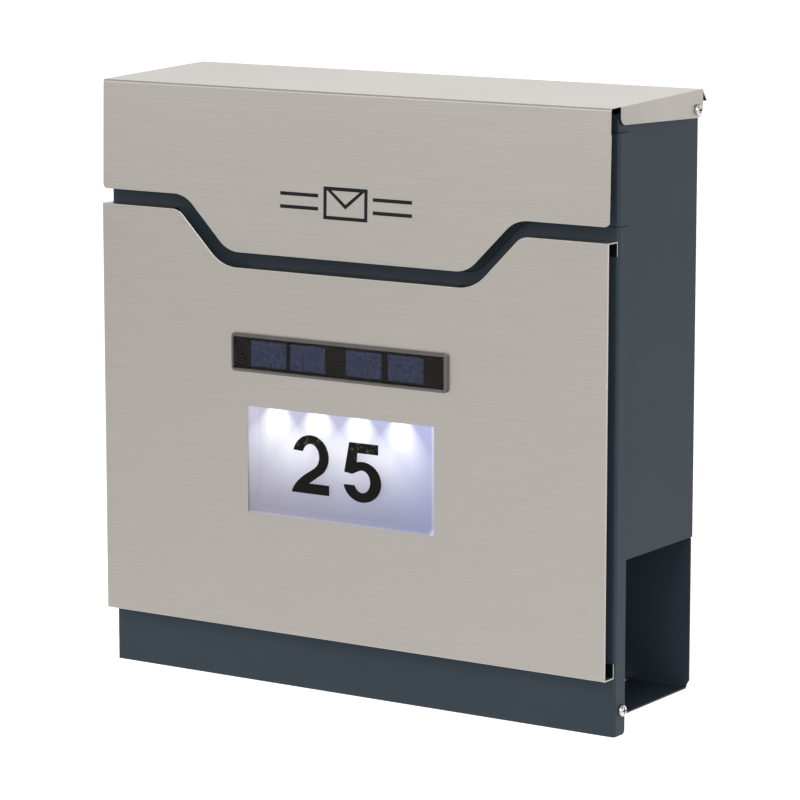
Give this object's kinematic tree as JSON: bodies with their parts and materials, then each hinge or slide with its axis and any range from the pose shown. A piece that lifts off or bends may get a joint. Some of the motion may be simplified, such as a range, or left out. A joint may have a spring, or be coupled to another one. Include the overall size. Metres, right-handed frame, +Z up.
{
  "type": "wall mounted mailbox",
  "caption": "Wall mailbox in coated and stainless sheet: lifting lid, bottom-hinged locking front door, open newspaper slot below, solar strip and lit house-number window.",
  "frame": {"origin": "centre of the four wall holes, on the wall plane that the spacers rest against", "axes": "+Y into the wall, front faces -Y, +Z up, +X to the right of someone facing the front"},
  "size_m": [0.3748, 0.1225, 0.3789],
  "materials": {
    "anthracite_coat": "fine-textured anthracite powder coat, satin",
    "brushed_stainless": "stainless sheet with a horizontal brushed grain",
    "zinc_plate": "zinc-plated steel",
    "bright_screw": "bright nickel-plated screws",
    "nylon": "natural nylon",
    "black_rubber": "black rubber",
    "spacer_plastic": "black moulded plastic",
    "lock_chrome": "chromed zinc die casting",
    "lock_brass": "machined brass, slightly dull",
    "black_print": "black print, slightly matt",
    "bezel_plastic": "black-brown moulded plastic with a grey sheen on its edges",
    "panel_black": "brown-black solder mask",
    "solar_cell": "dark blue silicon with fine finger lines",
    "clear_cover": "clear cover, glossy",
    "clear_acrylic": "clear acrylic pane",
    "digit_vinyl": "black vinyl with a little dust",
    "reflector_white": "white reflector",
    "circuit_white": "white solder mask",
    "led_lens": "lit white lamp",
    "housing_plastic": "black moulded plastic, fine grain",
    "circuit_green": "green solder mask",
    "component_black": "epoxy and plated leads",
    "battery_wrap": "shrink-wrapped cell, plain green",
    "spring_plate": "nickel-plated spring steel",
    "switch_plastic": "light grey plastic"
  },
  "bodies": {
    "root": {"back_panel": "anthracite_coat", "side_panel_left": "anthracite_coat", "side_panel_right": "anthracite_coat", "upper_fascia": "anthracite_coat", "fascia_strips": "anthracite_coat", "fascia_rivets": "zinc_plate", "slot_baffle": "anthracite_coat", "compartment_floor": "anthracite_coat", "wall_spacers": "spacer_plastic", "door_hinge_screws": "bright_screw", "door_hinge_nuts": "zinc_plate", "door_hinge_washers": "nylon", "lid_hinge_screws": "bright_screw", "lid_hinge_nuts": "zinc_plate", "lid_hinge_washers": "nylon", "lid_bumpers": "black_rubber", "door_bumpers": "black_rubber", "lock_body": "lock_chrome", "lock_nut": "zinc_plate"},
    "lock": {"lock_plug": "lock_brass", "lock_cam": "zinc_plate", "lock_cam_screw": "zinc_plate"},
    "lid": {"lid": "brushed_stainless", "mail_icon": "black_print"},
    "door": {"door_panel": "anthracite_coat", "front_panel": "brushed_stainless", "panel_rivets": "zinc_plate", "lock_strike": "zinc_plate", "strike_rivets": "zinc_plate", "solar_bezel": "bezel_plastic", "solar_board": "panel_black", "solar_cells": "solar_cell", "solar_cover": "clear_cover", "number_window": "clear_acrylic", "house_digits": "digit_vinyl", "reflector": "reflector_white", "led_board": "circuit_white", "leds": "led_lens", "light_housing": "housing_plastic", "housing_back": "housing_plastic", "housing_screws": "bright_screw", "control_board": "circuit_green", "board_components": "component_black", "battery_holder": "housing_plastic", "batteries": "battery_wrap", "battery_contacts": "spring_plate", "battery_cover": "housing_plastic", "battery_cover_screw": "bright_screw"},
    "switch": {"switch_slider": "switch_plastic"}
  },
  "joints": [
    {"name": "door_hinge", "type": "hinge", "parent": "root", "child": "door", "pos_m": [0, -0.1009, -0.1749], "axis": [1, 0, 0], "range_deg": [0, 88]},
    {"name": "lid_hinge", "type": "hinge", "parent": "root", "child": "lid", "pos_m": [0, -0.0165, 0.1767], "axis": [-1, 0, 0], "range_deg": [0, 88]},
    {"name": "lock_turn", "type": "hinge", "parent": "root", "child": "lock", "pos_m": [0, -0.105, 0.11], "axis": [0, 1, 0], "range_deg": [0, 90]},
    {"name": "switch_slide", "type": "slide", "parent": "door", "child": "switch", "axis": [1, 0, 0], "range_m": [0, 0.003]}
  ]
}
